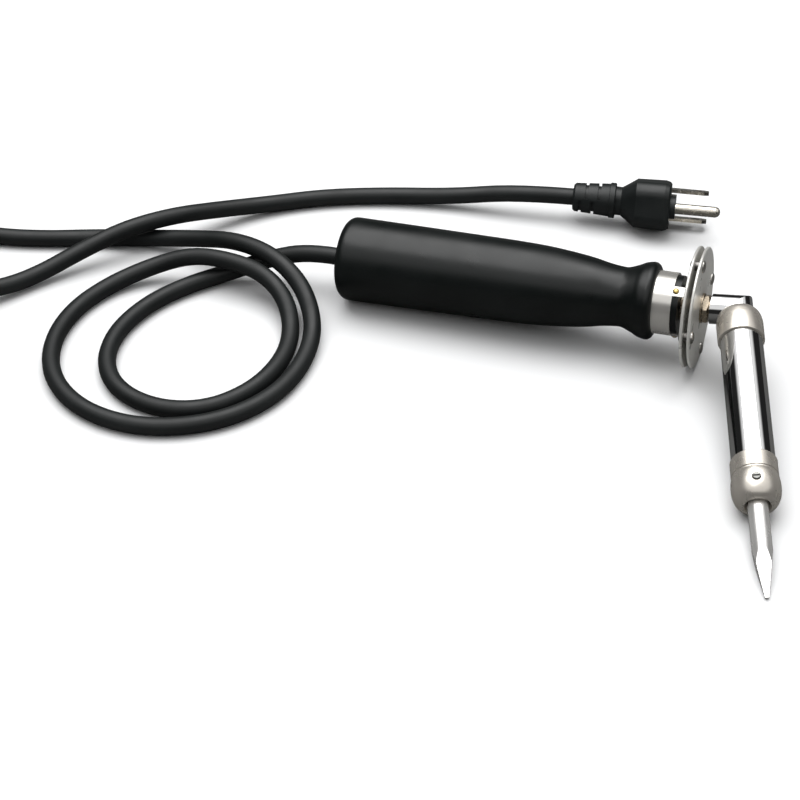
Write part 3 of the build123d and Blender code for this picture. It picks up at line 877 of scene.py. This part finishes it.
@dataclass
class Grip:
    """Moulded handle, with its bushing and wiring inside."""

    rear_radius: float = 18.0
    edge: float = 4.5
    front: float = 137.4
    bore: float = 6.6
    bore_end: float = 27.0
    cavity: float = 12.5
    cavity_end: float = 98.0
    stem_bore: float = 4.05
    spigot: float = 12.35
    spigot_end: float = 148.0
    taper: list[tuple[float, float]] = field(default_factory=lambda: [
        (4.5, 18.0), (28.0, 17.85), (52.0, 17.64), (76.0, 17.38), (91.0, 16.75), (106.5, 15.1),
        (116.0, 13.35), (121.8, 12.65), (124.6, 12.85), (128.6, 14.4), (131.4, 15.75),
        (134.4, 16.4),
    ])

    def outline(self) -> list[tuple[float, float]]:
        """Handle's outline from its bushing round the outside, then back along its cavity."""
        points = [(self.bore_end, self.bore), (0.35, self.bore), (0.0, self.bore + 0.35)]
        centre = self.rear_radius - self.edge
        for step in range(9):
            turn = math.radians(90 * step / 8)
            points.append((
                self.edge * (1 - math.cos(turn)), centre + self.edge * math.sin(turn)))
        points += smooth_line(self.taper)[1:]
        points += [(135.6, 16.25), (136.6, 15.6), (137.2, 14.7), (self.front, 13.6)]
        points += [(self.front, self.spigot), (self.spigot_end, self.spigot)]
        points += [(self.spigot_end, self.stem_bore), (self.cavity_end, self.stem_bore)]
        points += [(self.cavity_end, self.cavity), (self.bore_end, self.cavity), points[0]]
        return points

    def build(self) -> None:
        """Builds the handle's skin and dresses what is in it."""
        satin = Moulding(
            "grip_satin", (0.0035, 0.0048, 0.0046), (0.27, 0.38), Around.HANDLE, grain=1500.0,
            specular=0.36).make()
        mesh = turned("grip", self.outline(), Around.HANDLE, 192)
        skin = as_piece("grip", mesh, satin, Around.HANDLE)
        stand_in(skin, "handle", "handle_body")
        rubber = Moulding("bushing_rubber", (0.012, 0.012, 0.012), (0.5, 0.65), Around.HANDLE)
        dress(["cord_bushing"], rubber.make())
        jacket = Moulding("jacket_inside", (0.009, 0.0105, 0.0105), (0.38, 0.52), grain=1800.0)
        dress(["cord_inner_end"], jacket.make())
        zinc = SatinMetal("zinc_plate", (0.62, 0.62, 0.60)).make()
        dress(["cord_clamp_upper", "cord_clamp_lower", "cord_clamp_screws", "stem_nut"], zinc)
        bronzed = SatinMetal("bronzed_steel", (0.46, 0.39, 0.30), gloss=(0.20, 0.34)).make()
        dress(["stem_washer", "stem_tube", "baffle_nut", "lock_washer", "jam_nut"], bronzed)
        for name, tone in (
            ("live_conductor", Tone.BLACK), ("neutral_conductor", Tone.WHITE),
            ("ground_conductor", Tone.GREEN),
        ):
            dress([name], Moulding("insulation_" + tone.name, tone.value, (0.3, 0.45)).make())
        dress(["crimp_connectors", "ground_lug"],
              SatinMetal("tinned_copper", (0.75, 0.52, 0.38)).make())


@dataclass
class HeatShield:
    """Ferrule, two baffles and what holds them. Lengths are in millimetres."""

    rear_face: float = 152.0
    front_face: float = 155.2
    thick: float = 1.2
    rivets: int = 4
    rivet_circle: float = 21.0
    rivet_radius: float = 1.2
    spacer_radius: float = 2.1
    pins: int = 3
    pin_station: float = 146.6
    pin_start: float = math.radians(29.0)
    ferrule_radius: float = 13.3

    def rivet(self) -> bpy.types.Mesh:
        """One rivet: a low rounded head, its shank and the set head behind."""
        rear = self.rear_face
        front = self.front_face + self.thick
        shank = self.rivet_radius
        mesh = turned("rivet", [
            (rear - 0.9, 0), (rear - 0.9, 1.5), (rear - 0.5, 2.1), (rear, 2.2), (rear, shank),
            (front, shank), (front, 2.6), (front + 0.35, 2.5), (front + 0.75, 2.0),
            (front + 0.95, 1.2), (front + 1.0, 0),
        ], Around.HANDLE, 40)
        mesh.transform(Matrix.Translation((0, 0, self.rivet_circle * MM)))
        return mesh

    def spacer(self) -> bpy.types.Mesh:
        """One tube between the baffles."""
        rear = self.rear_face + self.thick
        bore = self.rivet_radius + 0.02
        mesh = turned("spacer", [
            (rear, bore), (rear, self.spacer_radius), (self.front_face, self.spacer_radius),
            (self.front_face, bore), (rear, bore),
        ], Around.HANDLE, 40)
        mesh.transform(Matrix.Translation((0, 0, self.rivet_circle * MM)))
        return mesh

    def pin(self) -> bpy.types.Mesh:
        """One peg with its low domed head."""
        skin = self.ferrule_radius + 0.02
        mesh = turned("pin", [
            (9.5, 0), (9.5, 1.0), (skin, 1.0), (skin, 1.37), (skin + 0.35, 1.1),
            (skin + 0.6, 0.6), (skin + 0.7, 0),
        ], Around.BARREL, 32)
        mesh.transform(Matrix.Translation((self.pin_station * MM, 0, 0)))
        return mesh

    def build(self) -> None:
        """Builds the rivets, spacers and pins, and dresses the ferrule and the baffles."""
        nickel = Plated(
            "satin_nickel", (0.72, 0.70, 0.66), (0.16, 0.26), Around.HANDLE, marks=0.3,
            metallic=0.7).make()
        dress(["ferrule"], nickel)
        satin = Plated(
            "satin_disc", (0.76, 0.75, 0.71), (0.26, 0.36), Around.HANDLE, marks=0.25,
            metallic=0.45).make()
        dress(["rear_baffle", "front_baffle"], satin)
        heads = Plated("rivet_nickel", (0.66, 0.64, 0.60), (0.24, 0.36), Around.HANDLE).make()
        dull = SatinMetal("dull_steel", (0.24, 0.23, 0.22)).make()
        brass = SatinMetal("pin_brass", (0.80, 0.60, 0.22)).make()
        repeats = [
            ("rivets", "baffle_rivets", self.rivet(), self.rivets, 0.0, heads, "plated_nickel"),
            ("spacers", "baffle_spacers", self.spacer(), self.rivets, 0.0, dull, "zinc_steel"),
            ("pins", "ferrule_pins", self.pin(), self.pins, self.pin_start, brass, "brass"),
        ]
        for name, node, sample, count, start, finish, slot in repeats:
            mesh = ring_of(name, sample, count, start, finish)
            piece = as_piece(name, mesh, finish, Around.HANDLE)
            stand_in(piece, node, "handle_body")


@dataclass
class AngledHead:
    """Elbow, barrel, nose and tip, with the heater inside. Lengths are in millimetres."""

    corner: float = -1.6
    arm_station: float = 157.4
    arm_radius: float = 6.3
    cap_top: float = 0.8
    cap_radius: float = 9.7
    cap_end: float = 15.8
    tube_radius: float = 8.75
    tube_wall: float = 0.6
    tube_start: float = 9.6
    tube_end: float = 84.0
    nose_start: float = 79.0
    band_radius: float = 9.45
    nose_end: float = 100.6
    guide: float = 4.15
    screw_station: float = 93.0
    screw_hole: float = 1.8
    gap: float = 0.02
    turns: float = 15.0
    winding_start: float = 29.0
    winding_length: float = 51.0
    winding_radius: float = 5.75
    wire_radius: float = 0.35

    def cap(self) -> bpy.types.Mesh:
        """Domed cap, coped round the elbow's arm."""
        bore = self.arm_radius + self.gap
        seat = self.tube_radius + self.gap
        top = self.cap_top
        inner = self.tube_start - 0.1
        dome = smooth_line([
            (top + 0.1, 6.9), (top + 0.5, 7.6), (top + 1.7, 8.65), (top + 3.4, 9.3),
            (top + 5.8, self.cap_radius),
        ], 5)
        mesh = turned("cap", [
            (top, bore), (top, bore + 0.3), *dome, (self.cap_end - 0.5, self.cap_radius),
            (self.cap_end - 0.15, self.cap_radius - 0.12),
            (self.cap_end, self.cap_radius - 0.4),
            (self.cap_end, seat), (inner, seat), (inner, bore), (top, bore),
        ], Around.BARREL, 192)
        to_head = RESTING.head_frame().inverted() @ RESTING.handle_frame()
        arm = rod(
            to_head @ Vector((self.arm_station * MM, 0, 0)), Vector((0, 0, self.corner * MM)),
            bore * MM)
        return cut_away(mesh, arm)

    def tube(self) -> bpy.types.Mesh:
        """Thin barrel tube."""
        inner = self.tube_radius - self.tube_wall
        return turned("tube", [
            (self.tube_start, inner), (self.tube_start, self.tube_radius),
            (self.tube_end, self.tube_radius), (self.tube_end, inner), (self.tube_start, inner),
        ], Around.BARREL, 256)

    def nose(self) -> bpy.types.Mesh:
        """Nose: a plain band, a groove, a bulge and a rounded end, with the screw's hole."""
        seat = self.tube_radius + self.gap
        start = self.nose_start
        band = self.band_radius
        bulge = smooth_line([
            (87.4, band), (89.0, 9.75), (91.0, 9.9), (93.0, 9.9), (95.4, 9.6), (97.6, 8.9),
            (99.3, 7.8), (100.3, 6.5), (self.nose_end, 5.4),
        ], 6)
        mesh = turned("nose", [
            (start, seat), (start, band - 0.2), (start + 0.3, band), (86.2, band),
            (86.55, band - 0.3), (87.05, band - 0.3), *bulge, (98.6, self.guide + 0.2),
            (98.0, self.guide), (self.tube_end + 0.1, self.guide), (self.tube_end + 0.1, seat),
            (start, seat),
        ], Around.BARREL, 192)
        middle = Vector((0, 0, self.screw_station * MM))
        hole = rod(middle, middle + Vector((0, 0.012, 0)), self.screw_hole * MM)
        return cut_away(mesh, hole)

    def winding(self, material: bpy.types.Material) -> bpy.types.Mesh:
        """Resistance wire as a spiral, by geometry nodes.

        Args:
            material: The wire's finish.

        Returns:
            The plain mesh, in the head's frame.
        """
        tree = GeometryTree("heater_spiral")
        spiral = tree.node("GeometryNodeCurveSpiral")
        spiral.inputs["Resolution"].default_value = 24
        radius = tree.asked("Radius", "NodeSocketFloat", self.winding_radius * MM)
        turns = tree.asked("Turns", "NodeSocketFloat", self.turns)
        tree.link(turns, spiral.inputs["Rotations"])
        tree.link(radius, spiral.inputs["Start Radius"])
        tree.link(radius, spiral.inputs["End Radius"])
        length = tree.asked("Length", "NodeSocketFloat", self.winding_length * MM)
        tree.link(length, spiral.inputs["Height"])
        section = tree.node("GeometryNodeCurvePrimitiveCircle")
        section.inputs["Resolution"].default_value = 10
        wire = tree.asked("Wire", "NodeSocketFloat", self.wire_radius * MM)
        tree.link(wire, section.inputs["Radius"])
        sweep = tree.node("GeometryNodeCurveToMesh")
        sweep.inputs["Fill Caps"].default_value = True
        tree.link(spiral.outputs[0], sweep.inputs["Curve"])
        tree.link(section.outputs[0], sweep.inputs["Profile Curve"])
        mesh = tree.finished(sweep.outputs[0], "winding", material)
        sharpened(mesh, 50.0)
        mesh.transform(Matrix.Translation((0, 0, self.winding_start * MM)))
        return mesh

    def build(self) -> None:
        """Builds the turned pieces and dresses the rest."""
        chrome = Plated(
            "mirror_chrome", (0.80, 0.80, 0.80), (0.02, 0.06), Around.BARREL, marks=0.06).make()
        dress(["elbow"], chrome)
        warm = Plated(
            "warm_nickel", (0.64, 0.60, 0.54), (0.24, 0.34), Around.BARREL, marks=0.25,
            metallic=0.7).make()
        wire = SatinMetal("heater_wire", (0.4, 0.35, 0.32)).make()
        built = [
            ("tube", "barrel_tube", self.tube(), chrome, "mirror_chrome"),
            ("cap", "barrel_cap", self.cap(), warm, "warm_nickel"),
            ("nose", "nose_collar", self.nose(), warm, "warm_nickel"),
            ("winding", "heater_winding", self.winding(wire), wire, "resistance_wire"),
        ]
        for name, node, mesh, finish, slot in built:
            stand_in(as_piece(name, mesh, finish, Around.BARREL), node, "head")
        dress(["set_screw"], SatinMetal("screw_steel", (0.2, 0.2, 0.19), Around.BARREL).make())
        dress(["soldering_tip"], Plated(
            "tip_plate", (0.80, 0.79, 0.77), (0.18, 0.32), Around.BARREL,
            warm=(0.55, 0.47, 0.38), warm_from=0.102, warm_to=0.085, marks=0.4,
            metallic=0.65).make())
        dress(["heater_sleeve"], SatinMetal("sleeve_steel", (0.5, 0.49, 0.47)).make())
        dress(["mica_wrap"], Mineral("mica", (0.62, 0.55, 0.38), (0.45, 0.36, 0.2)).make())
        ceramic = Mineral("ceramic", (0.80, 0.78, 0.72), (0.66, 0.62, 0.55)).make()
        dress(["outer_insulator", "rear_insulator"], ceramic)
        braid = Mineral("glass_braid", (0.72, 0.70, 0.62), (0.5, 0.46, 0.36), 1600.0).make()
        dress(["heater_leads"], braid)


def main() -> None:
    """Builds the stage and every assembly in order."""
    logging.basicConfig(level=logging.INFO, format="%(message)s")
    for part in (Studio(), MainsLead(), Plug(), Grip(), HeatShield(), AngledHead()):
        part.build()
        LOG.info("%s done", type(part).__name__)


if __name__ == "__main__":
    main()
